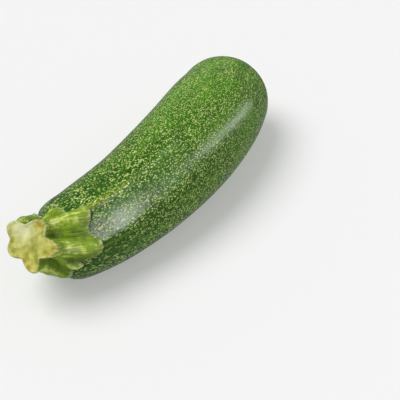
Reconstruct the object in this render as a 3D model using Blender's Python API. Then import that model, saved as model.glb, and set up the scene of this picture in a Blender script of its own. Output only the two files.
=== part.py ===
"""A courgette as picked, lying on its side, at its real size.

The fruit lies along X, with its cut stem towards -X and its blossom end towards +X, and it
bulges gently towards -Y. The origin is on the surface that it lies on, under the middle of
its box. Angles round the fruit and round the stem are in degrees from the top, growing
towards -Y.
"""

import math

import bmesh
import bpy
from mathutils import Vector

MM = 0.001

# The fruit's run goes from the neck, at 0, to the middle of the round blossom end, at 1
RUN = 112.5 * MM
BEND = math.radians(33)
ARC_RADIUS = RUN / BEND
GIRTH = (
    (-0.12, 17.6),
    (0.0, 19.2),
    (0.12, 20.8),
    (0.3, 22.2),
    (0.5, 23.6),
    (0.7, 24.1),
    (0.88, 23.8),
    (1.017, 22.3),
)

# The blossom end is a ball round the end of the run, which the tapering girth meets at a lean
BALL_RADIUS = 22.4 * MM
BALL_LEAN = math.radians(5.5)
BALL_FROM = RUN + BALL_RADIUS * math.sin(BALL_LEAN)

# The neck closes in a flattened dome, and rises a little off the surface
NECK_DEPTH = 15 * MM
NECK_FULLNESS = 3.4
NECK_RISE = 3.5 * MM
RISE_FROM = 0.2

# The weight of the fruit presses this much of its underside flat
SETTLE = 0.35 * MM

# Ridges of the fruit: angle, height in mm. They run on from the ribs of the stem and fade
RIDGES = ((20, 0.9), (70, 1.0), (143, 0.7), (222, 0.8), (292, 0.8))
RIDGE_WIDTH = 13
RIDGE_FADE = ((-0.12, 1.1), (0.05, 1.0), (0.3, 0.5), (0.6, 0.25), (1.0, 0.12))

# The scar of the flower: a raised collar round a shallow dish
SCAR_RADIUS = 6.5 * MM
SCAR_DISH = 0.9 * MM
SCAR_COLLAR = 0.4 * MM
SCAR_COLLAR_WIDTH = 0.25

# Shares of the fruit's outline where the neck's dome ends and the ball starts
DOME_ENDS = 0.22
BALL_STARTS = 0.76

# The stem leaves the shoulder at this distance beyond the neck, and points up and along -X
STEM_FOOT = 10.7 * MM
STEM_LEVEL = 21 * MM
STEM_TILT = math.radians(38)
STEM_LENGTH = 22 * MM
FLARE_LEAVES = 16 * MM

# Ribs of the stem: angle at the cut, angle at the foot, and radius at the cut in mm. Then the
# valleys between them: angle and radius at the cut
RIBS = (
    (-131, -145, 11.3),
    (-78, -74, 13.5),
    (20, 28, 12.2),
    (75, 62, 15.0),
    (140, 127, 13.1),
)
VALLEYS = ((-175, 7.6), (-104, 9.8), (-34, 8.6), (48, 9.3), (114, 9.1))
RIB_CROWN = 0.8

# The shank is narrower where the flare leaves it, by this share, and widens late towards the cut
WAIST = 0.95
WAIST_POWER = 1.6
CUT_ROUNDING = 0.8 * MM
CUT_DISH = 0.5 * MM

# Lobes of the foot: angle round the fruit, half width in degrees, and height from 0 to 1
LOBES = (
    (-145, 16, 1),
    (-74, 16, 1),
    (-3, 10, 0.8),
    (26, 10, 1),
    (62, 9, 1),
    (81, 6.5, 0.9),
    (124, 18, 1),
    (173, 12, 0.6),
)

# Edge of the foot: angle round the fruit, and reach in mm, where 0 is at the neck
FOOT_EDGE = (
    (-170, -11.9),
    (-145, -9.9),
    (-115, -12.6),
    (-76, -11.9),
    (-50, -12.8),
    (-22, -12.9),
    (-12, -12.2),
    (-10, -10.6),
    (-5.5, -8.7),
    (2, -7.2),
    (9, -7),
    (12, -6.5),
    (13.2, -4.8),
    (14, -2.4),
    (15, -0.3),
    (17.5, 0.8),
    (21, 1),
    (25, 0.7),
    (29, 0.1),
    (33, -0.6),
    (39, -2.2),
    (44, -2.8),
    (48.5, -2.3),
    (53, -1.4),
    (60, -0.7),
    (65, -0.9),
    (70, -2),
    (72.4, -3.7),
    (73.4, -5.6),
    (74.2, -7),
    (75.4, -7.9),
    (78, -8.5),
    (82.5, -9.4),
    (86, -10.5),
    (91, -11.6),
    (101, -12),
    (110, -12),
    (124, -12.2),
    (140, -12.2),
)

# Thickness of the foot at its edge and inside it, under a crest and in a valley. The thickest
# place is nearer the edge than the shank, and the lobes rise early on the way down to the foot
CREST_EDGE = 2.4 * MM
VALLEY_EDGE = 1.1 * MM
CREST_COVER = 3.8 * MM
VALLEY_COVER = 1.1 * MM
COVER_SHIFT = 1.4
LOBE_LEAD = 0.6

# How far, as a share of the fruit's outline, the edge bulges out between its two lips
EDGE_BULGE = 0.004

# How stiffly the crests and the valleys leave the shank and land on the fruit, and how far the
# crests spread as they leave. They land at the fruit's slope from this share of the way out
CREST_STIFFNESS = 0.3
VALLEY_STIFFNESS = 0.9
CREST_SPREAD = 1.2
SLOPE_FROM = 0.8
GAP = 0.35 * MM

# Fineness of the two meshes, and of the step that finds which way the outline faces
OUTLINE_STEP = 0.002
HALVINGS = 30
FRUIT_AROUND = 60
FRUIT_ROWS = 46
STEM_AROUND = 96
CUT_ROWS = 5
SHANK_ROWS = 5
FLARE_ROWS = 10
LIP_ROWS = 2
UNDER_ROWS = 8
SHARP_EDGE = math.radians(50)


def curve_through(stations, where, period=None):
    """The height at one place of a smooth curve through (place, height) stations."""
    points = list(stations)
    if period:
        before = [(place - period, height) for place, height in points[-2:]]
        after = [(place + period, height) for place, height in points[:2]]
        where = (where - points[0][0]) % period + points[0][0]
        points = before + points + after
    if where <= points[0][0]:
        return points[0][1]
    if where >= points[-1][0]:
        return points[-1][1]
    last = len(points) - 1
    index = max(i for i in range(last) if points[i][0] <= where)
    slopes = []
    for i in (index, index + 1):
        low, high = points[max(i - 1, 0)], points[min(i + 1, last)]
        slopes.append((high[1] - low[1]) / (high[0] - low[0]))
    (left, left_height), (right, right_height) = points[index], points[index + 1]
    width = right - left
    share = (where - left) / width
    rise = 3 * share**2 - 2 * share**3
    leave = share * (1 - share) ** 2 * width * slopes[0]
    arrive = share**2 * (share - 1) * width * slopes[1]
    return left_height + (right_height - left_height) * rise + leave + arrive


def angle_between(angle, other):
    """How far one angle is from another, from -180 to 180."""
    return (angle - other + 180) % 360 - 180


def girth(run):
    """The fruit's radius at a place on its run."""
    return curve_through(GIRTH, run) * MM


def level(run):
    """The height of the middle of the fruit at a place on its run."""
    rise = max((RISE_FROM - run) / (RISE_FROM + NECK_DEPTH / RUN), 0) ** 2
    return girth(run) - SETTLE + NECK_RISE * rise


def ridge(angle, run):
    """How far the ridges stand up at a place on the fruit."""
    height = sum(
        tall * math.exp(-((angle_between(angle, place) / RIDGE_WIDTH) ** 2)) for place, tall in RIDGES
    )
    return height * curve_through(RIDGE_FADE, run) * MM


def around_run(run, angle, radius):
    """A point at an angle and a radius round the middle of the fruit."""
    turn = BEND * (min(run, 1) - 0.5)
    along = Vector((math.cos(turn), math.sin(turn), 0))
    side = Vector((math.sin(turn), -math.cos(turn), 0))
    middle = Vector((ARC_RADIUS * math.sin(turn), -ARC_RADIUS * (math.cos(turn) - math.cos(BEND / 2)), 0))
    middle += along * max(run - 1, 0) * RUN
    middle.z = level(run)
    turned = math.radians(angle)
    return middle + radius * (math.cos(turned) * Vector((0, 0, 1)) + math.sin(turned) * side)


def outline(share):
    """Distance beyond the neck and radius, at a share of the way from neck tip to blossom tip."""
    if share < DOME_ENDS:
        turn = share / DOME_ENDS * math.pi / 2
        power = 2 / NECK_FULLNESS
        distance = -NECK_DEPTH * max(math.cos(turn), 0) ** power
        return distance, girth(distance / RUN) * math.sin(turn) ** power
    if share < BALL_STARTS:
        distance = BALL_FROM * (share - DOME_ENDS) / (BALL_STARTS - DOME_ENDS)
        return distance, girth(distance / RUN)
    turn = BALL_LEAN + (share - BALL_STARTS) / (1 - BALL_STARTS) * (math.pi / 2 - BALL_LEAN)
    radius = BALL_RADIUS * math.cos(turn)
    from_scar = radius / SCAR_RADIUS
    collar = SCAR_COLLAR * math.exp(-(((from_scar - 1) / SCAR_COLLAR_WIDTH) ** 2))
    dish = SCAR_DISH * math.exp(-2 * from_scar**4)
    return RUN + BALL_RADIUS * math.sin(turn) + collar - dish, radius


def fruit_point(share, angle, stand_off=0):
    """A point on the fruit, or at a distance off its surface."""
    distance, radius = outline(share)
    if stand_off:
        before, after = outline(max(share - OUTLINE_STEP, 0)), outline(share + OUTLINE_STEP)
        normal = Vector((before[1] - after[1], after[0] - before[0])).normalized()
        if share == 0:
            normal = Vector((-1, 0))
        distance += normal.x * stand_off
        radius += normal.y * stand_off
    run = distance / RUN
    radius += ridge(angle, run) * min(radius / girth(run), 1)
    point = around_run(run, angle, radius)
    point.z = max(point.z, 0)
    return point


def clear_of_fruit(point, stand_off):
    """The point, or where it is too near or inside the fruit, one at this distance off it."""
    centre = Vector((0, ARC_RADIUS * math.cos(BEND / 2)))
    arm = point.xy - centre
    run = math.atan2(arm.x, -arm.y) / BEND + 0.5
    across, rise = arm.length - ARC_RADIUS, point.z - level(run)
    angle = math.degrees(math.atan2(across, rise))
    radius = math.hypot(across, rise)
    swell = ridge(angle, run) * min(radius / girth(run), 1)
    radius -= swell
    least = girth(run) + stand_off
    if run >= 0:
        return around_run(run, angle, max(radius, least) + swell)
    size = (-run * RUN / (NECK_DEPTH + stand_off)) ** NECK_FULLNESS + (radius / least) ** NECK_FULLNESS
    grow = max(size ** (-1 / NECK_FULLNESS), 1)
    return around_run(run * grow, angle, radius * grow + swell)


def share_at(distance):
    """The share of the outline where the neck's dome is at this distance beyond the neck."""
    low, high = 0, BALL_STARTS
    for _ in range(HALVINGS):
        middle = (low + high) / 2
        if outline(middle)[0] < distance:
            low = middle
        else:
            high = middle
    return high


def stem_frame():
    """Foot point, direction, up and side of the stem."""
    foot = around_run(-STEM_FOOT / RUN, 0, 0)
    foot.z = STEM_LEVEL
    direction = Vector((-math.cos(STEM_TILT), 0, math.sin(STEM_TILT)))
    up = Vector((math.sin(STEM_TILT), 0, math.cos(STEM_TILT)))
    return foot, direction, up, Vector((0, -1, 0))


def rib_wave(angle):
    """Crest share and radius at the cut, from the crest and the valley on each side of an angle."""
    stations = sorted([(rib[0], rib[2], 1) for rib in RIBS] + [(place, radius, 0) for place, radius in VALLEYS])
    index = max((i for i, station in enumerate(stations) if station[0] <= angle), default=-1)
    here, after = stations[index], stations[(index + 1) % len(stations)]
    share = (angle - here[0]) % 360 / ((after[0] - here[0]) % 360)
    wave = 0.5 + 0.5 * math.cos(math.pi * (share if here[2] else 1 - share))
    wave = wave**RIB_CROWN
    lobe, valley = (here[1], after[1]) if here[2] else (after[1], here[1])
    return wave, valley + (lobe - valley) * wave


def rib_radius(angle, height):
    """The stem's radius at an angle, at a height from its foot."""
    up = min(max((height - FLARE_LEAVES) / (STEM_LENGTH - FLARE_LEAVES), 0), 1) ** WAIST_POWER
    return rib_wave(angle)[1] * (WAIST + (1 - WAIST) * up) * MM


def around_stem(angle, height, radius):
    """A point at an angle and a radius round the stem's own middle."""
    foot, direction, up, side = stem_frame()
    turned = math.radians(angle)
    return foot + direction * height + radius * (math.cos(turned) * up + math.sin(turned) * side)


def foot_angle(angle):
    """Where an angle of the cut end comes down on the fruit."""
    turned = [(rib[0], angle_between(rib[1], rib[0])) for rib in RIBS]
    return angle + curve_through(turned, angle, 360)


def foot_at(angle):
    """Angle on the fruit, share of its outline, lobe share and thickness of the foot's edge."""
    landing = foot_angle(angle)
    edge = share_at(curve_through(FOOT_EDGE, landing, 360) * MM)
    lobe = max(
        tall * math.exp(-((angle_between(landing, place) / width) ** 2)) for place, width, tall in LOBES
    )
    return landing, edge, lobe, VALLEY_EDGE + (CREST_EDGE - VALLEY_EDGE) * lobe


def flare_ends(angle):
    """Where the flare leaves the shank and where it lands, and its pull at each end."""
    landing, edge, lobe, thickness = foot_at(angle)
    waist = around_stem(angle, FLARE_LEAVES, rib_radius(angle, FLARE_LEAVES))
    lip = fruit_point(edge, landing, GAP + thickness)
    inside = fruit_point(edge * SLOPE_FROM, landing, GAP + thickness)
    crest = (rib_wave(angle)[0] + lobe) / 2
    pull = (lip - waist).length * (VALLEY_STIFFNESS + (CREST_STIFFNESS - VALLEY_STIFFNESS) * crest)
    outward = (waist - around_stem(angle, FLARE_LEAVES, 0)).normalized()
    leave = (outward * CREST_SPREAD * crest - stem_frame()[1]) * pull
    return waist, lip, leave, (lip - inside).normalized() * pull


def cut_point(share, angle):
    """A point on the cut face, from its middle to its rim."""
    radius = (rib_radius(angle, STEM_LENGTH) - CUT_ROUNDING) * share
    return around_stem(angle, STEM_LENGTH - CUT_DISH * (1 - share**2), radius)


def shank_point(share, angle):
    """A point on the shank, from below the rim of the cut to where the flare leaves it."""
    top = STEM_LENGTH - CUT_ROUNDING
    height = top + (FLARE_LEAVES - top) * share
    return around_stem(angle, height, rib_radius(angle, height))


def flare_point(share, angle):
    """A point on the flare, which bends from the shank to the upper lip of the foot's edge."""
    waist, lip, leave, arrive = flare_ends(angle)
    _, _, lobe, thickness = foot_at(angle)
    rise = 3 * share**2 - 2 * share**3
    bow = leave * share * (1 - share) ** 2 - arrive * share**2 * (1 - share)
    wave = rib_wave(angle)[0]
    swollen = VALLEY_COVER + (CREST_COVER - VALLEY_COVER) * (wave + (lobe - wave) * rise**LOBE_LEAD)
    cover = thickness + (swollen - thickness) * math.sin(math.pi * share**COVER_SHIFT) ** 2
    return clear_of_fruit(waist + (lip - waist) * rise + bow, GAP + cover)


def lip_point(share, angle):
    """A point on the rounded edge of the foot, from its upper lip to its lower one."""
    landing, edge, _, thickness = foot_at(angle)
    bulge = EDGE_BULGE * math.sin(math.pi * share)
    return fruit_point(edge + bulge, landing, GAP + thickness * (1 - share))


def under_point(share, angle):
    """A point on the underside of the foot, which follows the fruit's dome to its tip."""
    landing, edge, _, _ = foot_at(angle)
    return fruit_point(edge * (1 - share), landing, GAP)


STEM_STRETCHES = (
    (CUT_ROWS, cut_point),
    (SHANK_ROWS, shank_point),
    (FLARE_ROWS, flare_point),
    (LIP_ROWS, lip_point),
    (UNDER_ROWS, under_point),
)


def stem_point(share, angle):
    """A point on the stem, at a share of the rows from the cut's middle to the underside's."""
    row = round(share * sum(rows for rows, _ in STEM_STRETCHES))
    for rows, stretch in STEM_STRETCHES:
        if row <= rows:
            break
        row -= rows
    return stretch(row / rows, angle)


def grown(name, around, rows, place):
    """A closed solid from a sphere, with each point moved to its place by share and angle."""
    mesh = bpy.data.meshes.new(name)
    shape = bmesh.new()
    bmesh.ops.create_uvsphere(shape, u_segments=around, v_segments=rows, radius=1)
    for vertex in shape.verts:
        row = round(math.acos(max(min(vertex.co.z, 1), -1)) / math.pi * rows)
        angle = math.degrees(math.atan2(vertex.co.y, vertex.co.x))
        vertex.co = place(row / rows, angle)
    if shape.calc_volume(signed=True) < 0:
        bmesh.ops.reverse_faces(shape, faces=shape.faces)
    shape.to_mesh(mesh)
    shape.free()
    solid = bpy.data.objects.new(name, mesh)
    bpy.context.collection.objects.link(solid)
    mesh.shade_smooth()
    mesh.set_sharp_from_angle(angle=SHARP_EDGE)
    return solid


def finish(solid, name, colour, roughness):
    """Gives a solid its own plain material."""
    material = bpy.data.materials.new(name)
    material.use_nodes = True
    shader = material.node_tree.nodes["Principled BSDF"]
    shader.inputs["Base Color"].default_value = (*colour, 1)
    shader.inputs["Roughness"].default_value = roughness
    shader.inputs["Metallic"].default_value = 0
    solid.data.materials.append(material)


def centre(solids):
    """Moves the solids so that the origin is under the middle of their box."""
    corners = [vertex.co for solid in solids for vertex in solid.data.vertices]
    middle = Vector((0, 0, 0))
    for axis in (0, 1):
        places = [corner[axis] for corner in corners]
        middle[axis] = (min(places) + max(places)) / 2
    for solid in solids:
        for vertex in solid.data.vertices:
            vertex.co -= middle


def main():
    """Builds the fruit and its stem."""
    for thing in list(bpy.data.objects):
        bpy.data.objects.remove(thing)
    fruit = grown("fruit", FRUIT_AROUND, FRUIT_ROWS, fruit_point)
    stem = grown("stem", STEM_AROUND, sum(rows for rows, _ in STEM_STRETCHES), stem_point)
    finish(fruit, "courgette skin", (0.09, 0.22, 0.05), 0.4)
    finish(stem, "courgette stalk", (0.27, 0.4, 0.07), 0.55)
    centre((fruit, stem))


main()
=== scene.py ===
"""Dresses the courgette: its finely grown rind and stalk, their finishes, and a plain studio.

The fruit lies along X, with its cut stem towards -X and its blossom end towards +X. Angles
round the fruit and round the stem are in degrees from the top, growing towards -Y. Lengths
are in metres, and patterns are laid out in millimetres.
"""

import functools
import math

import bmesh
import bpy
from mathutils import Matrix, Vector, noise

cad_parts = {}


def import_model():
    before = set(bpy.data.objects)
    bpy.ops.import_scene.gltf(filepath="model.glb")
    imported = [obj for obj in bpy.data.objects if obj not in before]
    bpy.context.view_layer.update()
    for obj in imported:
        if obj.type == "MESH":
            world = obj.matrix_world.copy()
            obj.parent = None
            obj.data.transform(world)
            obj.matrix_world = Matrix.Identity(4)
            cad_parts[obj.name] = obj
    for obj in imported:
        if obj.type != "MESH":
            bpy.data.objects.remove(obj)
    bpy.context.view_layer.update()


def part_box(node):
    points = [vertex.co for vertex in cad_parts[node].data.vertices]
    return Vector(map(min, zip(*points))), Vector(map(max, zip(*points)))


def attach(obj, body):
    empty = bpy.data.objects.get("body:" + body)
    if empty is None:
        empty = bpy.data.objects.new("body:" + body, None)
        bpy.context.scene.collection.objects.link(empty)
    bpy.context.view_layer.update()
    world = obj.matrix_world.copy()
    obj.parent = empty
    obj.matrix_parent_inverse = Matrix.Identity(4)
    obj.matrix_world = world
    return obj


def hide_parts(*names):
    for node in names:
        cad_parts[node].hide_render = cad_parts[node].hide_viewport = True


MM = 0.001

# The fruit's run goes from the neck, at 0, to the middle of the round blossom end, at 1
RUN = 112.5 * MM
BEND = math.radians(33)
ARC_RADIUS = RUN / BEND
GIRTH = (
    (-0.12, 17.6),
    (0.0, 19.2),
    (0.12, 20.8),
    (0.3, 22.2),
    (0.5, 23.6),
    (0.7, 24.1),
    (0.88, 23.8),
    (1.017, 22.3),
)

# The blossom end is a ball round the end of the run, which the tapering girth meets at a lean
BALL_RADIUS = 22.4 * MM
BALL_LEAN = math.radians(5.5)
BALL_FROM = RUN + BALL_RADIUS * math.sin(BALL_LEAN)

# The neck closes in a flattened dome, and rises a little off the surface
NECK_DEPTH = 15 * MM
NECK_FULLNESS = 3.4
NECK_RISE = 3.5 * MM
RISE_FROM = 0.2
SETTLE = 0.35 * MM

# Ridges of the fruit: angle, height in mm. They run on from the ribs of the stem and fade
RIDGES = ((20, 0.9), (70, 1.0), (143, 0.7), (222, 0.8), (292, 0.8))
RIDGE_WIDTH = 13
RIDGE_FADE = ((-0.12, 1.1), (0.05, 1.0), (0.3, 0.5), (0.6, 0.25), (1.0, 0.12))

# Yellow lines along the ridges: angle, half width in degrees, strength. The thin line at 70 is a painted
# highlight along the edge of that ridge
RIDGE_LINES = ((18, 5, 0.9), (70, 2.5, 0.5), (143, 4, 0.5), (222, 4, 0.6), (292, 4, 0.7))
RIDGE_LINE_FADE = 0.2

# The scar of the flower: a raised collar round a shallow dish
SCAR_RADIUS = 6.5 * MM
SCAR_DISH = 0.9 * MM
SCAR_COLLAR = 0.4 * MM
SCAR_COLLAR_WIDTH = 0.25

# Shares of the fruit's outline where the neck's dome ends and the ball starts
DOME_ENDS = 0.22
BALL_STARTS = 0.76

# The stem leaves the shoulder at this distance beyond the neck, and points up and along -X
STEM_FOOT = 10.7 * MM
STEM_LEVEL = 21 * MM
STEM_TILT = math.radians(38)
STEM_LENGTH = 22 * MM
FLARE_LEAVES = 16 * MM

# Ribs of the stem: angle at the cut, angle at the foot, and radius at the cut in mm. Then the
# valleys between them: angle and radius at the cut
RIBS = (
    (-131, -145, 11.3),
    (-78, -74, 13.5),
    (20, 28, 12.2),
    (75, 62, 15.0),
    (140, 127, 13.1),
)
VALLEYS = ((-175, 7.6), (-104, 9.8), (-34, 8.6), (48, 9.3), (114, 9.1))
RIB_CROWN = 0.8
WAIST = 0.95
WAIST_POWER = 1.6
CUT_ROUNDING = 0.8 * MM
CUT_DISH = 0.5 * MM

# Lobes of the foot: angle round the fruit, half width in degrees, and height from 0 to 1
LOBES = (
    (-145, 16, 1),
    (-74, 16, 1),
    (-3, 10, 0.8),
    (26, 10, 1),
    (64, 9, 1),
    (86, 6.5, 1),
    (124, 18, 1),
    (173, 12, 0.6),
)

# Edge of the foot: angle round the fruit, and reach in mm, where 0 is at the neck
FOOT_EDGE = (
    (-170, -11.9),
    (-145, -9.9),
    (-115, -12.6),
    (-76, -11.9),
    (-50, -12.8),
    (-22, -12.9),
    (-12, -12.2),
    (-10, -10.6),
    (-5.5, -8.7),
    (2, -7.2),
    (9, -7),
    (12, -6.5),
    (13.2, -4.8),
    (14, -2.4),
    (15, -0.3),
    (17.5, 0.8),
    (21, 1),
    (25, 0.7),
    (29, 0.1),
    (33, -0.6),
    (39, -2.2),
    (44, -2.8),
    (48.5, -2.3),
    (53, -1.4),
    (60, -0.7),
    (65, -0.8),
    (70, -1),
    (74, -1.7),
    (76, -3.4),
    (77, -6),
    (77.8, -8.8),
    (79, -9.7),
    (81, -9.6),
    (84, -9.1),
    (88, -9.9),
    (92, -11.3),
    (101, -12),
    (109, -12),
    (117, -12.4),
    (126, -12.9),
    (140, -13.3),
)

# Thickness of the foot at its edge and in its middle, on a lobe and between lobes
CREST_EDGE = 2.4 * MM
VALLEY_EDGE = 1.1 * MM
CREST_COVER = 3.8 * MM
VALLEY_COVER = 1.1 * MM
COVER_SHIFT = 1.4
LOBE_LEAD = 0.6

# The edge is rounded by this share of its thickness, and drawn back by this share of the rounding
EDGE_ROUNDING = 0.55
EDGE_BACK = 0.25

# How stiffly the flare leaves the shank and lands on the fruit, on a rib and between ribs, how far
# the ribs spread as they leave, and the share of the way to the edge that gives the landing's slope
CREST_STIFFNESS = 0.3
VALLEY_STIFFNESS = 0.9
CREST_SPREAD = 1.2
SLOPE_FROM = 0.8

# Gap between the stem and the fruit
GAP = 0.35 * MM

# Slow waves of the rind: height and length of one wave
WAVES = ((0.12 * MM, 24 * MM), (0.05 * MM, 6 * MM))

# Near the neck the rind's grain is drawn out, by this many mm in all, and less with the run
NECK_DRAW = 22
NECK_DRAW_FADE = 0.36

# Strands of the stalk: height, then width and length in mm. They are laid out over these lengths of
# the shank and the flare, at this radius, in mm. Lumps between them: height, deepest share and size
STRAND = 0.36 * MM
STRAND_WIDTH = 2
STRAND_LENGTH = 14
SHANK_GROWTH = 5
FLARE_GROWTH = 12
STEM_GIRTH = 11
KNOB = 0.6 * MM
KNOB_LEAST = -0.3
KNOB_SIZE = 4.5 * MM

# Swellings and hollows of the flare: angle, share, width in degrees and in share, height in mm
SWELLINGS = (
    (-74, 0.5, 16, 0.45, 2.2),
    (6, 0.66, 10, 0.16, -1.1),
    (-56, 0.3, 14, 0.3, 1.2),
    (-6, 0.85, 12, 0.15, 0.7),
    (12, 0.95, 8, 0.12, 0.6),
    (48, 0.45, 12, 0.5, -0.3),
    (108, 0.5, 9, 0.4, -0.8),
    (91, 0.7, 5, 0.4, -0.9),
    (99, 0.85, 6, 0.25, 0.9),
    (78, 0.85, 7, 0.2, 0.6),
    (128, 0.7, 22, 0.3, 0.9),
)

# The cut: height and size of its lumps, and height of the lip round it and its share of the radius
CUT_LUMPS = 0.9 * MM
CUT_LUMP_SIZE = 3.4 * MM
CUT_LIP = 0.35 * MM
CUT_LIP_WIDTH = 0.06

# Dry golden spots of the cut: angle, distance from its middle and width in mm, and strength. Then
# the bleached place
DRY_SPOTS = (
    (8, 11, 2.1, 1),
    (22, 11.2, 1.5, 0.7),
    (77, 14, 1.8, 0.9),
    (92, 12, 1.5, 0.6),
    (133, 12.5, 1.4, 0.5),
    (156, 11, 1.4, 0.8),
    (172, 8, 1.4, 0.7),
    (-160, 9, 1.3, 0.6),
    (-104, 9.4, 1.4, 0.9),
)
BLEACHED = (-50, 8, 6)

# Mm of growth over which the finish of the cut wraps round its rim. Then where the flare starts, over
# how many mm its crests pass from the ribs to the lobes, and how much they fade by the lobes' tips
CUT_WRAP = 0.8
FLARE_START = 8
CREST_LEAD = 10
CREST_TIP = 0.06

# The rim of the cut carries a painted highlight, palest round this angle, and the foot's lips are a little
# pale too. Each pale band has its middle and its half width in mm of growth
RIM_HIGHLIGHT = 45
RIM_SPREAD = 50
RIM_LEAST = 0.25
RIM_BAND = (-0.3, 0.7)
LIP_PALE = 0.7
LIP_BAND = (24.4, 1.2)

# Fineness of the meshes
OUTLINE_STEP = 0.002
HALVINGS = 30
FRUIT_AROUND = 200
FRUIT_ROWS = 220
STEM_AROUND = 260
CUT_ROWS = 30
RIM_ROWS = 8
SHANK_ROWS = 24
FLARE_ROWS = 90
LIP_ROWS = 12
UNDER_ROWS = 16
STEM_ROWS = CUT_ROWS + RIM_ROWS + SHANK_ROWS + FLARE_ROWS + LIP_ROWS + UNDER_ROWS

# The camera stands far back, looks at this point beside the chord's middle, and sees this wide
CAMERA_TURN = -54.55
CAMERA_TILT = 43
CAMERA_ANGLE = 18
CAMERA_AIM = Vector((-6.63, -30.86, 20)) * MM
CAMERA_DISTANCE = 90.44 * MM / math.tan(math.radians(CAMERA_ANGLE / 2))

# The lights: strength of the surroundings. Then the soft lights, which show no reflection: name,
# strength, spread in degrees and the direction that each comes from
SKY = 0.2
SOFT_LIGHTS = (
    ("high light", 2.42, 38, Vector((-0.32, 0.38, 1))),
    ("fill light", 0.52, 170, Vector((0, 0, 1))),
)

# The floor glows a little, lies a hair below the courgette and reaches this far
FLOOR_GLOW = 0.3
FLOOR_BELOW = 0.05 * MM
FLOOR_REACH = 60

# The strips, whose reflections are the shine on the wax: strength, the directions of the two ends
# that each runs between, and its width. All strips are the same distance away
STRIP_DISTANCE = 0.7
STRIPS = (
    (0.9, Vector((0.9, -0.43, 0.09)), Vector((0.43, -0.73, 0.53)), 0.05),
    (0.2, Vector((0.43, -0.73, 0.53)), Vector((0.02, -0.82, 0.57)), 0.12),
    (1.5, Vector((0.1, -0.79, 0.6)), Vector((-0.16, -0.78, 0.6)), 0.24),
    (0.35, Vector((0.0, -0.44, 0.9)), Vector((0.12, -0.2, 0.97)), 0.1),
    (0.12, Vector((0.3, -0.16, 0.94)), Vector((0.38, -0.06, 0.93)), 0.06),
)


def curve_through(stations, where, period=None):
    """The height at one place of a smooth curve through (place, height) stations."""
    points = list(stations)
    if period:
        before = [(place - period, height) for place, height in points[-2:]]
        after = [(place + period, height) for place, height in points[:2]]
        where = (where - points[0][0]) % period + points[0][0]
        points = before + points + after
    if where <= points[0][0]:
        return points[0][1]
    if where >= points[-1][0]:
        return points[-1][1]
    last = len(points) - 1
    index = max(i for i in range(last) if points[i][0] <= where)
    slopes = []
    for i in (index, index + 1):
        low, high = points[max(i - 1, 0)], points[min(i + 1, last)]
        slopes.append((high[1] - low[1]) / (high[0] - low[0]))
    (left, left_height), (right, right_height) = points[index], points[index + 1]
    width = right - left
    share = (where - left) / width
    rise = 3 * share**2 - 2 * share**3
    leave = share * (1 - share) ** 2 * width * slopes[0]
    arrive = share**2 * (share - 1) * width * slopes[1]
    return left_height + (right_height - left_height) * rise + leave + arrive


def angle_between(angle, other):
    """How far one angle is from another, from -180 to 180."""
    return (angle - other + 180) % 360 - 180


@functools.lru_cache(maxsize=4096)
def girth(run):
    """The fruit's radius at a place on its run."""
    return curve_through(GIRTH, run) * MM


def level(run):
    """The height of the middle of the fruit at a place on its run."""
    rise = max((RISE_FROM - run) / (RISE_FROM + NECK_DEPTH / RUN), 0) ** 2
    return girth(run) - SETTLE + NECK_RISE * rise


def ridge(angle, run):
    """How far the ridges stand up at a place on the fruit."""
    height = sum(
        tall * math.exp(-((angle_between(angle, place) / RIDGE_WIDTH) ** 2)) for place, tall in RIDGES
    )
    return height * curve_through(RIDGE_FADE, run) * MM


def around_run(run, angle, radius):
    """A point at an angle and a radius round the middle of the fruit."""
    turn = BEND * (min(run, 1) - 0.5)
    along = Vector((math.cos(turn), math.sin(turn), 0))
    side = Vector((math.sin(turn), -math.cos(turn), 0))
    middle = Vector((ARC_RADIUS * math.sin(turn), -ARC_RADIUS * (math.cos(turn) - math.cos(BEND / 2)), 0))
    middle += along * max(run - 1, 0) * RUN
    middle.z = level(run)
    turned = math.radians(angle)
    return middle + radius * (math.cos(turned) * Vector((0, 0, 1)) + math.sin(turned) * side)


@functools.lru_cache(maxsize=8192)
def outline(share):
    """Distance beyond the neck and radius, at a share of the way from neck tip to blossom tip."""
    if share < DOME_ENDS:
        turn = share / DOME_ENDS * math.pi / 2
        power = 2 / NECK_FULLNESS
        distance = -NECK_DEPTH * max(math.cos(turn), 0) ** power
        return distance, girth(distance / RUN) * math.sin(turn) ** power
    if share < BALL_STARTS:
        distance = BALL_FROM * (share - DOME_ENDS) / (BALL_STARTS - DOME_ENDS)
        return distance, girth(distance / RUN)
    turn = BALL_LEAN + (share - BALL_STARTS) / (1 - BALL_STARTS) * (math.pi / 2 - BALL_LEAN)
    radius = BALL_RADIUS * math.cos(turn)
    from_scar = radius / SCAR_RADIUS
    collar = SCAR_COLLAR * math.exp(-(((from_scar - 1) / SCAR_COLLAR_WIDTH) ** 2))
    dish = SCAR_DISH * math.exp(-2 * from_scar**4)
    return RUN + BALL_RADIUS * math.sin(turn) + collar - dish, radius


def fruit_point(share, angle, stand_off=0):
    """A point on the fruit, or at a distance off its surface."""
    distance, radius = outline(share)
    if stand_off:
        before, after = outline(max(share - OUTLINE_STEP, 0)), outline(share + OUTLINE_STEP)
        normal = Vector((before[1] - after[1], after[0] - before[0])).normalized()
        if share == 0:
            normal = Vector((-1, 0))
        distance += normal.x * stand_off
        radius += normal.y * stand_off
    run = distance / RUN
    radius += ridge(angle, run) * min(radius / girth(run), 1)
    point = around_run(run, angle, radius)
    point.z = max(point.z, 0)
    return point


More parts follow.
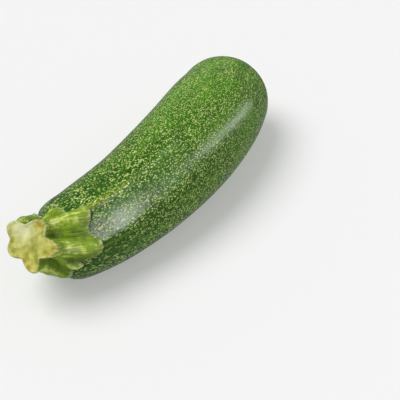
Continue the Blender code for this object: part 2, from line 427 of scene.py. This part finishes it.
def clear_of_fruit(point, stand_off):
    """The point, or where it is too near or inside the fruit, one at this distance off it."""
    centre = Vector((0, ARC_RADIUS * math.cos(BEND / 2)))
    arm = point.xy - centre
    run = math.atan2(arm.x, -arm.y) / BEND + 0.5
    across, rise = arm.length - ARC_RADIUS, point.z - level(run)
    angle = math.degrees(math.atan2(across, rise))
    radius = math.hypot(across, rise)
    swell = ridge(angle, run) * min(radius / girth(run), 1)
    radius -= swell
    least = girth(run) + stand_off
    if run >= 0:
        return around_run(run, angle, max(radius, least) + swell)
    size = (-run * RUN / (NECK_DEPTH + stand_off)) ** NECK_FULLNESS + (radius / least) ** NECK_FULLNESS
    grow = max(size ** (-1 / NECK_FULLNESS), 1)
    return around_run(run * grow, angle, radius * grow + swell)


def share_at(distance):
    """The share of the outline where the neck's dome is at this distance beyond the neck."""
    low, high = 0, BALL_STARTS
    for _ in range(HALVINGS):
        middle = (low + high) / 2
        if outline(middle)[0] < distance:
            low = middle
        else:
            high = middle
    return high


@functools.lru_cache(maxsize=1)
def stem_frame():
    """Foot point, direction, up and side of the stem."""
    foot = around_run(-STEM_FOOT / RUN, 0, 0)
    foot.z = STEM_LEVEL
    direction = Vector((-math.cos(STEM_TILT), 0, math.sin(STEM_TILT)))
    up = Vector((math.sin(STEM_TILT), 0, math.cos(STEM_TILT)))
    return foot, direction, up, Vector((0, -1, 0))


def rib_wave(angle):
    """Crest share and radius at the cut, from the crest and the valley on each side of an angle."""
    stations = [(rib[0], rib[2], 1) for rib in RIBS] + [(place, radius, 0) for place, radius in VALLEYS]
    stations.sort()
    index = max((i for i, station in enumerate(stations) if station[0] <= angle), default=-1)
    here, after = stations[index], stations[(index + 1) % len(stations)]
    share = (angle - here[0]) % 360 / ((after[0] - here[0]) % 360)
    wave = 0.5 + 0.5 * math.cos(math.pi * (share if here[2] else 1 - share))
    wave = wave**RIB_CROWN
    lobe, valley = (here[1], after[1]) if here[2] else (after[1], here[1])
    return wave, valley + (lobe - valley) * wave


def rib_radius(angle, height):
    """The stem's radius at an angle, at a height from its foot."""
    up = min(max((height - FLARE_LEAVES) / (STEM_LENGTH - FLARE_LEAVES), 0), 1) ** WAIST_POWER
    return rib_wave(angle)[1] * (WAIST + (1 - WAIST) * up) * MM


def around_stem(angle, height, radius):
    """A point at an angle and a radius round the stem's own middle."""
    foot, direction, up, side = stem_frame()
    turned = math.radians(angle)
    return foot + direction * height + radius * (math.cos(turned) * up + math.sin(turned) * side)


def foot_angle(angle):
    """Where an angle of the cut end comes down on the fruit."""
    turned = [(rib[0], angle_between(rib[1], rib[0])) for rib in RIBS]
    return angle + curve_through(turned, angle, 360)


@functools.lru_cache(maxsize=2 * STEM_AROUND)
def foot_at(angle):
    """Angle on the fruit, share of its outline, lobe share, thickness and nose of the foot's edge."""
    landing = foot_angle(angle)
    edge = share_at(curve_through(FOOT_EDGE, landing, 360) * MM)
    lobe = max(
        tall * math.exp(-((angle_between(landing, place) / width) ** 2)) for place, width, tall in LOBES
    )
    thickness = VALLEY_EDGE + (CREST_EDGE - VALLEY_EDGE) * lobe
    step = fruit_point(edge + OUTLINE_STEP, landing) - fruit_point(edge, landing)
    nose = EDGE_ROUNDING * thickness * OUTLINE_STEP / step.length
    return landing, edge - EDGE_BACK * nose, lobe, thickness, nose


@functools.lru_cache(maxsize=2 * STEM_AROUND)
def flare_ends(angle):
    """Where the flare leaves the shank and where it lands, and its pull at each end."""
    landing, edge, lobe, thickness, _ = foot_at(angle)
    waist = around_stem(angle, FLARE_LEAVES, rib_radius(angle, FLARE_LEAVES))
    lip = fruit_point(edge, landing, GAP + thickness)
    inside = fruit_point(edge * SLOPE_FROM, landing, GAP + thickness)
    crest = (rib_wave(angle)[0] + lobe) / 2
    pull = (lip - waist).length * (VALLEY_STIFFNESS + (CREST_STIFFNESS - VALLEY_STIFFNESS) * crest)
    outward = (waist - around_stem(angle, FLARE_LEAVES, 0)).normalized()
    leave = (outward * CREST_SPREAD * crest - stem_frame()[1]) * pull
    return waist, lip, leave, (lip - inside).normalized() * pull


def cut_point(share, angle):
    """A point on the cut face, from its middle to its rim."""
    radius = (rib_radius(angle, STEM_LENGTH) - CUT_ROUNDING) * share
    point = around_stem(angle, STEM_LENGTH - CUT_DISH * (1 - share**2), radius)
    lumps = noise.noise(point / CUT_LUMP_SIZE) * CUT_LUMPS * (1 - share**6)
    lip = CUT_LIP * math.exp(-(((1 - share) / CUT_LIP_WIDTH) ** 2))
    return point + stem_frame()[1] * (lumps + lip)


def rim_point(share, angle):
    """A point on the rounded rim of the cut."""
    turn = share * math.pi / 2
    height = STEM_LENGTH - CUT_ROUNDING * (1 - math.cos(turn))
    radius = rib_radius(angle, height) - CUT_ROUNDING * (1 - math.sin(turn))
    return around_stem(angle, height + CUT_LIP * (1 - share), radius)


def shank_point(share, angle):
    """A point on the shank, from below the rim of the cut to where the flare leaves it."""
    top = STEM_LENGTH - CUT_ROUNDING
    height = top + (FLARE_LEAVES - top) * share
    return around_stem(angle, height, rib_radius(angle, height))


def flare_point(share, angle):
    """A point on the flare, which bends from the shank to the upper lip of the foot's edge."""
    waist, lip, leave, arrive = flare_ends(angle)
    _, _, lobe, thickness, _ = foot_at(angle)
    rise = 3 * share**2 - 2 * share**3
    bow = leave * share * (1 - share) ** 2 - arrive * share**2 * (1 - share)
    wave = rib_wave(angle)[0]
    swollen = VALLEY_COVER + (CREST_COVER - VALLEY_COVER) * (wave + (lobe - wave) * rise**LOBE_LEAD)
    cover = thickness + (swollen - thickness) * math.sin(math.pi * share**COVER_SHIFT) ** 2
    return clear_of_fruit(waist + (lip - waist) * rise + bow, GAP + cover)


def lip_point(share, angle):
    """A point on the rounded edge of the foot, from its upper lip to its lower one."""
    landing, edge, _, thickness, nose = foot_at(angle)
    turn = math.pi * share
    stand_off = GAP + thickness * (0.5 + 0.5 * math.cos(turn))
    return fruit_point(edge + nose * math.sin(turn), landing, stand_off)


def under_point(share, angle):
    """A point on the underside of the foot, which follows the fruit's dome to its tip."""
    landing, edge, _, _, _ = foot_at(angle)
    return fruit_point(edge * (1 - share), landing, GAP)


# Stretches of the stem: rows, how a point is placed, and start and length in mm of growth
STEM_STRETCHES = (
    (CUT_ROWS, cut_point, -12, 12),
    (RIM_ROWS, rim_point, 0, 1.2),
    (SHANK_ROWS, shank_point, 1.2, 6.8),
    (FLARE_ROWS, flare_point, FLARE_START, 16),
    (LIP_ROWS, lip_point, 24, 3),
    (UNDER_ROWS, under_point, 27, 12),
)


def stem_row(row):
    """The stretch of the stem that a row is in, its share of that stretch, and its mm of growth."""
    for rows, stretch, start, length in STEM_STRETCHES:
        if row <= rows:
            break
        row -= rows
    share = row / rows
    return stretch, share, start + length * share


def order_faces(shape):
    """Puts the faces in the order of their points, because a new sphere's faces come in any order."""
    shape.verts.index_update()
    count = len(shape.verts)

    def place(face):
        first, second, third = sorted(vertex.index for vertex in face.verts)[:3]
        return float((first * count + second) * count + third)

    shape.faces.sort(key=place)


def grown(name, around, rows, place, notes):
    """A closed fine mesh from a sphere, with each point moved to its place and noted for the finish."""
    mesh = bpy.data.meshes.new(name)
    shape = bmesh.new()
    bmesh.ops.create_uvsphere(shape, u_segments=around, v_segments=rows, radius=1)
    along = shape.verts.layers.float_vector.new("grown")
    marks = shape.verts.layers.float_color.new("marks")
    for vertex in shape.verts:
        row = round(math.acos(max(min(vertex.co.z, 1), -1)) / math.pi * rows)
        angle = round(math.degrees(math.atan2(vertex.co.y, vertex.co.x)), 3)
        vertex.co = place(row, angle)
        vertex[along], vertex[marks] = notes(row, angle)
    order_faces(shape)
    if shape.calc_volume(signed=True) < 0:
        bmesh.ops.reverse_faces(shape, faces=shape.faces)
    shape.to_mesh(mesh)
    shape.free()
    mesh.shade_smooth()
    piece = bpy.data.objects.new(name, mesh)
    bpy.context.scene.collection.objects.link(piece)
    return piece


def rind_place(row, angle):
    """A point of the rind, with its slow waves."""
    point = fruit_point(row / FRUIT_ROWS, angle)
    height = sum(tall * noise.noise(point / length) for tall, length in WAVES)
    distance, radius = outline(row / FRUIT_ROWS)
    out = Vector((0, 0, 0))
    if radius > MM:
        out = (point - around_run(distance / RUN, angle, 0)).normalized()
    point += out * height
    point.z = max(point.z, 0)
    return point


def rind_notes(row, angle):
    """Where the rind grew, in mm along and round the fruit, and its ridge line, scar and run."""
    distance, radius = outline(row / FRUIT_ROWS)
    run = distance / RUN
    turned = math.radians(angle)
    drawn_out = distance / MM + NECK_DRAW * math.exp(-max(run, -0.1) / NECK_DRAW_FADE)
    ridged = math.exp(-max(run, 0) / RIDGE_LINE_FADE) * max(
        strength * math.exp(-((angle_between(angle, place) / width) ** 2))
        for place, width, strength in RIDGE_LINES
    )
    scar = math.exp(-((radius / SCAR_RADIUS) ** 6)) if run > 1 else 0
    place = Vector((drawn_out, radius / MM * math.cos(turned), radius / MM * math.sin(turned)))
    return place, (ridged, scar, min(max(run, 0), 1), 1)


def stalk_place(row, angle):
    """A point of the stalk, with the strands of its shank and flare."""
    stretch, share, _ = stem_row(row)
    point = stretch(share, angle)
    if stretch not in (shank_point, flare_point):
        return point
    along = share * SHANK_GROWTH if stretch is shank_point else SHANK_GROWTH + share * FLARE_GROWTH
    turned = math.radians(angle)
    across = STEM_GIRTH * math.cos(turned) / STRAND_WIDTH, STEM_GIRTH * math.sin(turned) / STRAND_WIDTH
    spot = Vector((along / STRAND_LENGTH, *across))
    ends = math.sin(math.pi * min(max(along / (SHANK_GROWTH + FLARE_GROWTH), 0), 1)) ** 0.5
    foot, direction, _, _ = stem_frame()
    middle = foot + direction * (point - foot).dot(direction)
    height = STRAND * noise.noise(spot)
    if stretch is flare_point:
        height += KNOB * max(noise.noise(point / KNOB_SIZE), KNOB_LEAST) * rib_wave(angle)[0]
        for place, middle_share, width, length, tall in SWELLINGS:
            near = (angle_between(angle, place) / width) ** 2 + ((share - middle_share) / length) ** 2
            height += tall * MM * math.exp(-near)
    return point + (point - middle).normalized() * height * ends


def near_on_cut(angle, radius, spot):
    """How near a place on the cut is to a spot: 1 in its middle, fading out over its width."""
    turned = math.radians(angle - spot[0])
    apart = math.hypot(radius * math.cos(turned) - spot[1], radius * math.sin(turned))
    return math.exp(-((apart / spot[2]) ** 2))


def stalk_notes(row, angle):
    """Where the stalk grew, in mm along and round it, and its crest, cut face, rim and dry spots."""
    stretch, share, along = stem_row(row)
    turned = math.radians(angle)
    place = Vector((along, STEM_GIRTH * math.cos(turned), STEM_GIRTH * math.sin(turned)))
    cut = 1 if stretch is cut_point else max(1 - along / CUT_WRAP, 0)
    # The rim's pale band is a painted highlight, strongest round one angle
    rim_highlight = RIM_LEAST + (1 - RIM_LEAST) * math.exp(-((angle_between(angle, RIM_HIGHLIGHT) / RIM_SPREAD) ** 2))
    rim, lip = (math.exp(-(((along - middle) / width) ** 2)) for middle, width in (RIM_BAND, LIP_BAND))
    wave = rib_wave(angle)[0]
    lead = min(max((along - FLARE_START) / CREST_LEAD, 0), 1)
    crest = wave + (foot_at(angle)[2] - wave) * lead - CREST_TIP * lead**3
    radius = rib_radius(angle, STEM_LENGTH) / MM * (share if stretch is cut_point else 1)
    dry = max(near_on_cut(angle, radius, spot) * spot[3] for spot in DRY_SPOTS)
    bleached = near_on_cut(angle, radius, BLEACHED)
    return place, (crest, cut, max(rim_highlight * rim, LIP_PALE * lip), 0.5 + 0.5 * (dry - bleached))


def linear(colour):
    """An sRGB hex colour as linear red, green, blue and alpha."""
    parts = [int(colour[i : i + 2], 16) / 255 for i in (1, 3, 5)]
    return [part / 12.92 if part <= 0.04045 else ((part + 0.055) / 1.055) ** 2.4 for part in parts] + [1]


def add(tree, kind, inputs=None, **settings):
    """Adds a shader node with its settings, and gives each input its value or its link."""
    node = tree.nodes.new("ShaderNode" + kind)
    for name, value in settings.items():
        setattr(node, name, value)
    for socket, value in (inputs or {}).items():
        if isinstance(value, bpy.types.NodeSocket):
            tree.links.new(value, node.inputs[socket])
        else:
            node.inputs[socket].default_value = value
    return node


def new_material(name):
    """A material with an empty tree."""
    material = bpy.data.materials.new(name)
    material.use_nodes = True
    material.node_tree.nodes.clear()
    return material, material.node_tree


def courgette_rind():
    """Courgette rind: a thin waxy skin, dark green under dense pale lenticels.

    The wax gives a soft gloss. The lenticels are 0.4 to 0.7 mm wide, about 0.7 mm apart, and
    stand a little proud, so they break the gloss up. Near the neck they are drawn out in rows.
    """
    material, tree = new_material("courgette rind")
    place = add(tree, "Attribute", attribute_name="grown").outputs["Vector"]
    marks = add(tree, "Attribute", attribute_name="marks").outputs["Color"]
    marks = add(tree, "SeparateColor", {"Color": marks})
    ridged, scar, run = marks.outputs["Red"], marks.outputs["Green"], marks.outputs["Blue"]

    # Deeper and lighter patches, 8 mm wide and drawn out along the fruit, yellower at the far end
    drawn = add(tree, "Mapping", {"Vector": place, "Scale": (1 / 14, 1 / 8, 1 / 8)}).outputs[0]
    patches = add(tree, "TexNoise", {"Vector": drawn, "Scale": 1, "Detail": 3, "Roughness": 0.6})
    patch = add(tree, "MapRange", {"Value": patches.outputs["Fac"], 1: 0.35, 2: 0.65}).outputs[0]
    neck = add(tree, "Mix", {0: patch, 6: linear("#1d400d"), 7: linear("#2b5811")}, data_type="RGBA")
    far = add(tree, "Mix", {0: patch, 6: linear("#2f600f"), 7: linear("#4b8717")}, data_type="RGBA")
    green = add(tree, "Mix", {0: run, 6: neck.outputs[2], 7: far.outputs[2]}, data_type="RGBA")

    # Mottle between the lenticels, 0.8 mm wide, and a yellow line along each ridge. On the ridge at 70
    # degrees that line is a painted highlight
    mottle = add(tree, "TexNoise", {"Vector": place, "Scale": 1 / 0.8, "Detail": 2})
    mottled = add(tree, "MapRange", {"Value": mottle.outputs["Fac"], 1: 0.45, 2: 0.7, 4: 0.32})
    ground = add(
        tree, "Mix", {0: mottled.outputs[0], 6: green.outputs[2], 7: linear("#68a222")}, data_type="RGBA"
    )
    line = add(tree, "MapRange", {"Value": ridged, 1: 0.1, 2: 1, 4: 0.75}).outputs[0]
    ground = add(tree, "Mix", {0: line, 6: ground.outputs[2], 7: linear("#96a620")}, data_type="RGBA")

    # Lenticels: pale dots 0.7 mm apart, each with its own tone, and scarce in dark streaks
    streaks = add(tree, "Mapping", {"Vector": place, "Scale": (1 / 16, 1 / 2.2, 1 / 2.2)}).outputs[0]
    streaks = add(tree, "TexNoise", {"Vector": streaks, "Scale": 1, "Detail": 2})
    least = add(tree, "MapRange", {"Value": run, 2: 0.35, 3: 0.12, 4: 0.7}).outputs[0]
    thick = add(tree, "MapRange", {"Value": streaks.outputs["Fac"], 1: 0.36, 2: 0.52, 3: least}).outputs[0]
    cells = {"Vector": place, "Scale": 1 / 0.72, "Randomness": 0.88}
    dots = add(tree, "TexVoronoi", cells)
    tone = add(tree, "SeparateColor", {"Color": dots.outputs["Color"]})
    bright = add(tree, "MapRange", {"Value": tone.outputs["Red"], 3: 0.42, 4: 1.0}).outputs[0]
    bright = add(tree, "Math", {0: bright, 1: thick}, operation="MULTIPLY").outputs[0]
    dot = add(
        tree,
        "MapRange",
        {"Value": dots.outputs["Distance"], 1: 0.49, 2: 0.27, 4: bright},
        interpolation_type="SMOOTHSTEP",
    ).outputs[0]
    pale = add(
        tree, "Mix", {0: tone.outputs["Green"], 6: linear("#9cd244"), 7: linear("#faffaa")}, data_type="RGBA"
    )
    grained = add(tree, "Mix", {0: dot, 6: ground.outputs[2], 7: pale.outputs[2]}, data_type="RGBA")

    # Long pale flecks, about 1.5 by 0.8 mm, and a little bigger along the ridges
    longer = add(tree, "Mapping", {"Vector": place, "Scale": (0.55, 1, 1)}).outputs[0]
    flecks = add(tree, "TexVoronoi", {"Vector": longer, "Scale": 1 / 2.6, "Randomness": 1})
    kept = add(tree, "Math", {0: ridged, 1: -0.09, 2: flecks.outputs["Distance"]}, operation="MULTIPLY_ADD")
    fleck = add(
        tree,
        "MapRange",
        {"Value": kept.outputs[0], 1: 0.22, 2: 0.1, 4: 0.75},
        interpolation_type="SMOOTHSTEP",
    ).outputs[0]
    flecked = add(tree, "Mix", {0: fleck, 6: grained.outputs[2], 7: linear("#c3d274")}, data_type="RGBA")

    # The scar of the flower is dry and corky
    cork = add(tree, "TexNoise", {"Vector": place, "Scale": 1 / 1.1, "Detail": 4})
    dry = add(
        tree, "Mix", {0: cork.outputs["Fac"], 6: linear("#6f5c36"), 7: linear("#b7a678")}, data_type="RGBA"
    )
    skin = add(tree, "Mix", {0: scar, 6: flecked.outputs[2], 7: dry.outputs[2]}, data_type="RGBA")

    # Gloss: satin wax, rubbed duller in patches and on the scar, with lenticels that bump it
    rubbed = add(tree, "MapRange", {"Value": patches.outputs["Fac"], 1: 0.3, 2: 0.7, 3: 0.16, 4: 0.24})
    roughness = add(tree, "MapRange", {"Value": scar, 3: rubbed.outputs[0], 4: 0.85}).outputs[0]
    height = add(tree, "Math", {0: dot, 1: 0.6, 2: mottle.outputs["Fac"]}, operation="MULTIPLY_ADD")
    bump = add(tree, "Bump", {"Height": height.outputs[0], "Strength": 0.7, "Distance": 0.12 * MM})
    shader = add(
        tree,
        "BsdfPrincipled",
        {
            "Base Color": skin.outputs[2],
            "Roughness": roughness,
            "IOR": 1.45,
            "Normal": bump.outputs[0],
        },
    )
    add(tree, "OutputMaterial", {"Surface": shader.outputs[0]})
    return material


def courgette_stalk():
    """Courgette stalk: woody ribbed tissue, yellow-green, with a cut end that has begun to dry.

    Strands 0.9 mm wide run down the shank and fan out over the foot, with painted shade darkening the
    grooves and painted light paling the crests. The cut is pale and moist in its middle, with golden dry
    spots.
    """
    material, tree = new_material("courgette stalk")
    place = add(tree, "Attribute", attribute_name="grown").outputs["Vector"]
    marks = add(tree, "Attribute", attribute_name="marks")
    dried = marks.outputs["Alpha"]
    marks = add(tree, "SeparateColor", {"Color": marks.outputs["Color"]})
    crest, cut, rim = marks.outputs["Red"], marks.outputs["Green"], marks.outputs["Blue"]
    solid = add(tree, "TexCoord").outputs["Object"]

    # Strands 0.9 mm wide and 8 mm long, and blotches 3 mm wide, which share out the tone
    drawn = add(tree, "Mapping", {"Vector": place, "Scale": (1 / 8, 1 / 0.9, 1 / 0.9)}).outputs[0]
    strands = add(tree, "TexNoise", {"Vector": drawn, "Scale": 1, "Detail": 4, "Roughness": 0.65})
    strand = add(tree, "MapRange", {"Value": strands.outputs["Fac"], 1: 0.38, 2: 0.62}).outputs[0]
    blotches = add(tree, "TexNoise", {"Vector": solid, "Scale": 1 / (3 * MM), "Detail": 4})
    blotch = add(tree, "MapRange", {"Value": blotches.outputs["Fac"], 1: 0.35, 2: 0.65}).outputs[0]
    # The crests share out the tone too: painted shade in the grooves and painted light on the crests
    ridged = add(tree, "MapRange", {"Value": crest, 2: 0.95, 4: 0.5}).outputs[0]
    streaked = add(tree, "Math", {0: strand, 1: 0.5, 2: ridged}, operation="MULTIPLY_ADD").outputs[0]
    tone = add(tree, "Math", {0: blotch, 1: 0.42, 2: streaked}, operation="MULTIPLY_ADD").outputs[0]
    deep = add(tree, "MapRange", {"Value": tone, 1: 0.16, 2: 0.74}).outputs[0]
    light = add(tree, "MapRange", {"Value": tone, 1: 0.84, 2: 1.26}).outputs[0]
    flesh = add(tree, "Mix", {0: deep, 6: linear("#587424"), 7: linear("#8bab27")}, data_type="RGBA")
    stalk = add(tree, "Mix", {0: light, 6: flesh.outputs[2], 7: linear("#e4f07c")}, data_type="RGBA")

    # A pale line along the crests of the ribs: a painted highlight
    crest_highlight = add(tree, "MapRange", {"Value": crest, 1: 0.95, 2: 1, 4: strand}).outputs[0]
    crest_highlight = add(tree, "Math", {0: crest_highlight, 1: 0.7}, operation="MULTIPLY").outputs[0]
    stalk = add(tree, "Mix", {0: crest_highlight, 6: stalk.outputs[2], 7: linear("#dde3a4")}, data_type="RGBA")

    # The cut: pale pulp in lumps 4 mm wide, golden dry spots, an edge browned in places and a pale rim,
    # which is a painted highlight
    lumps = add(tree, "TexNoise", {"Vector": solid, "Scale": 1 / (4 * MM), "Detail": 4, "Roughness": 0.55})
    lump = add(tree, "MapRange", {"Value": lumps.outputs["Fac"], 1: 0.3, 2: 0.68}).outputs[0]
    pulp = add(tree, "Mix", {0: lump, 6: linear("#888a1c"), 7: linear("#d8d676")}, data_type="RGBA")
    pallor = add(tree, "MapRange", {"Value": dried, 1: 0.5, 2: 0.05, 4: 0.75}).outputs[0]
    bleached = add(tree, "Mix", {0: pallor, 6: pulp.outputs[2], 7: linear("#dfe3b4")}, data_type="RGBA")
    ragged = add(tree, "Math", {0: lump, 1: 0.3, 2: dried}, operation="MULTIPLY_ADD").outputs[0]
    rust = add(tree, "MapRange", {"Value": ragged, 1: 0.72, 2: 1.0, 4: 0.9}).outputs[0]
    rusted = add(tree, "Mix", {0: rust, 6: bleached.outputs[2], 7: linear("#a18a0e")}, data_type="RGBA")
    edged = add(tree, "Math", {0: rim, 1: blotch}, operation="MULTIPLY").outputs[0]
    browned = add(tree, "MapRange", {"Value": edged, 1: 0.35, 2: 0.75, 4: 0.7}).outputs[0]
    rusted = add(tree, "Mix", {0: browned, 6: rusted.outputs[2], 7: linear("#8a7a24")}, data_type="RGBA")
    ended = add(tree, "Mix", {0: cut, 6: stalk.outputs[2], 7: rusted.outputs[2]}, data_type="RGBA")
    # The pale rim is a painted highlight; the lips of the foot are paler too
    rim_highlight_and_pale_lips = add(tree, "Math", {0: rim, 1: strand}, operation="MULTIPLY").outputs[0]
    faint = add(tree, "Math", {0: rim_highlight_and_pale_lips, 1: 0.7}, operation="MULTIPLY").outputs[0]
    skin = add(tree, "Mix", {0: faint, 6: ended.outputs[2], 7: linear("#e6e8c4")}, data_type="RGBA")

    # Strands and lumps up to 0.4 mm high under a dull sheen
    grain = add(tree, "Mix", {0: cut, 2: strand, 3: lump}).outputs[0]
    bump = add(tree, "Bump", {"Height": grain, "Strength": 1, "Distance": 0.4 * MM})
    shader = add(
        tree,
        "BsdfPrincipled",
        {
            "Base Color": skin.outputs[2],
            "Roughness": 0.32,
            "IOR": 1.45,
            "Normal": bump.outputs[0],
        },
    )
    add(tree, "OutputMaterial", {"Surface": shader.outputs[0]})
    return material


def light_table():
    """Frosted white acrylic lit from below: the plain floor, on which shadows stay faint."""
    material, tree = new_material("frosted light table")
    shader = add(
        tree,
        "BsdfPrincipled",
        {
            "Base Color": linear("#c9c9c9"),
            "Roughness": 0.9,
            "Emission Color": (1, 1, 1, 1),
            "Emission Strength": FLOOR_GLOW,
        },
    )
    add(tree, "OutputMaterial", {"Surface": shader.outputs[0]})
    return material


def placed(name, data, place, turned):
    """An object at a place, turned by a rotation."""
    thing = bpy.data.objects.new(name, data)
    bpy.context.scene.collection.objects.link(thing)
    thing.location = place
    thing.rotation_euler = turned.to_euler()
    return thing


def light_studio():
    """Even pale surroundings, soft light from above, and strips that only shine on the wax."""
    scene = bpy.context.scene
    world = bpy.data.worlds.new("studio")
    world.use_nodes = True
    world.node_tree.nodes["Background"].inputs["Color"].default_value = (1, 1, 1, 1)
    world.node_tree.nodes["Background"].inputs["Strength"].default_value = SKY
    scene.world = world
    for name, strength, spread, toward in SOFT_LIGHTS:
        light = bpy.data.lights.new(name, "SUN")
        light.energy = strength
        light.angle = math.radians(spread)
        placed(name, light, toward, toward.to_track_quat("Z", "Y")).visible_glossy = False
    for power, start, end, width in STRIPS:
        strip = bpy.data.lights.new("strip", "AREA")
        strip.shape = "RECTANGLE"
        strip.size = (end - start).length * STRIP_DISTANCE
        strip.size_y = width
        strip.energy = power
        along = (end - start).normalized()
        back = (start + end).normalized()
        turned = Matrix((along, back.cross(along), back)).transposed()
        placed("strip", strip, (start + end) / 2 * STRIP_DISTANCE, turned).visible_diffuse = False
    scene.view_settings.view_transform = "Standard"


def lay_floor():
    """The pale floor that the courgette lies on."""
    mesh = bpy.data.meshes.new("floor")
    shape = bmesh.new()
    bmesh.ops.create_grid(shape, x_segments=1, y_segments=1, size=FLOOR_REACH)
    bmesh.ops.translate(shape, verts=shape.verts, vec=(0, 0, -FLOOR_BELOW))
    shape.to_mesh(mesh)
    shape.free()
    mesh.materials.append(light_table())
    floor = bpy.data.objects.new("floor", mesh)
    bpy.context.scene.collection.objects.link(floor)

    # The reflection of the bright floor would lie on the wax as a pale veil
    floor.visible_glossy = False


def set_camera(shift):
    """The camera, fitted to the outline of the fruit."""
    turn, tilt = math.radians(CAMERA_TURN), math.radians(CAMERA_TILT)
    back = Vector((math.sin(turn) * math.cos(tilt), -math.cos(turn) * math.cos(tilt), math.sin(tilt)))
    data = bpy.data.cameras.new("camera")
    data.angle = math.radians(CAMERA_ANGLE)
    data.clip_start = 0.01
    place = CAMERA_AIM + shift + back * CAMERA_DISTANCE
    bpy.context.scene.camera = placed("camera", data, place, back.to_track_quat("Z", "Y"))


def main():
    """Grows the fruit and the stalk, finishes them, and sets the studio."""
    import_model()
    fruit = grown("courgette_fruit", FRUIT_AROUND, FRUIT_ROWS, rind_place, rind_notes)
    stalk = grown("courgette_stalk", STEM_AROUND, STEM_ROWS, stalk_place, stalk_notes)

    # The fruit grows round its own chord, and is laid where its node is
    low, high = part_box("fruit")
    shift = Vector((0, 0, 0))
    for axis in (0, 1):
        places = [vertex.co[axis] for vertex in fruit.data.vertices]
        shift[axis] = (low[axis] + high[axis] - min(places) - max(places)) / 2
    for piece, node, slot, finish in (
        (fruit, "fruit", "skin", courgette_rind()),
        (stalk, "stem", "stalk", courgette_stalk()),
    ):
        piece.data.transform(Matrix.Translation(shift))
        piece.data.materials.append(finish)
        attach(piece, "root")
        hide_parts(node)

    lay_floor()
    light_studio()
    set_camera(shift)


main()
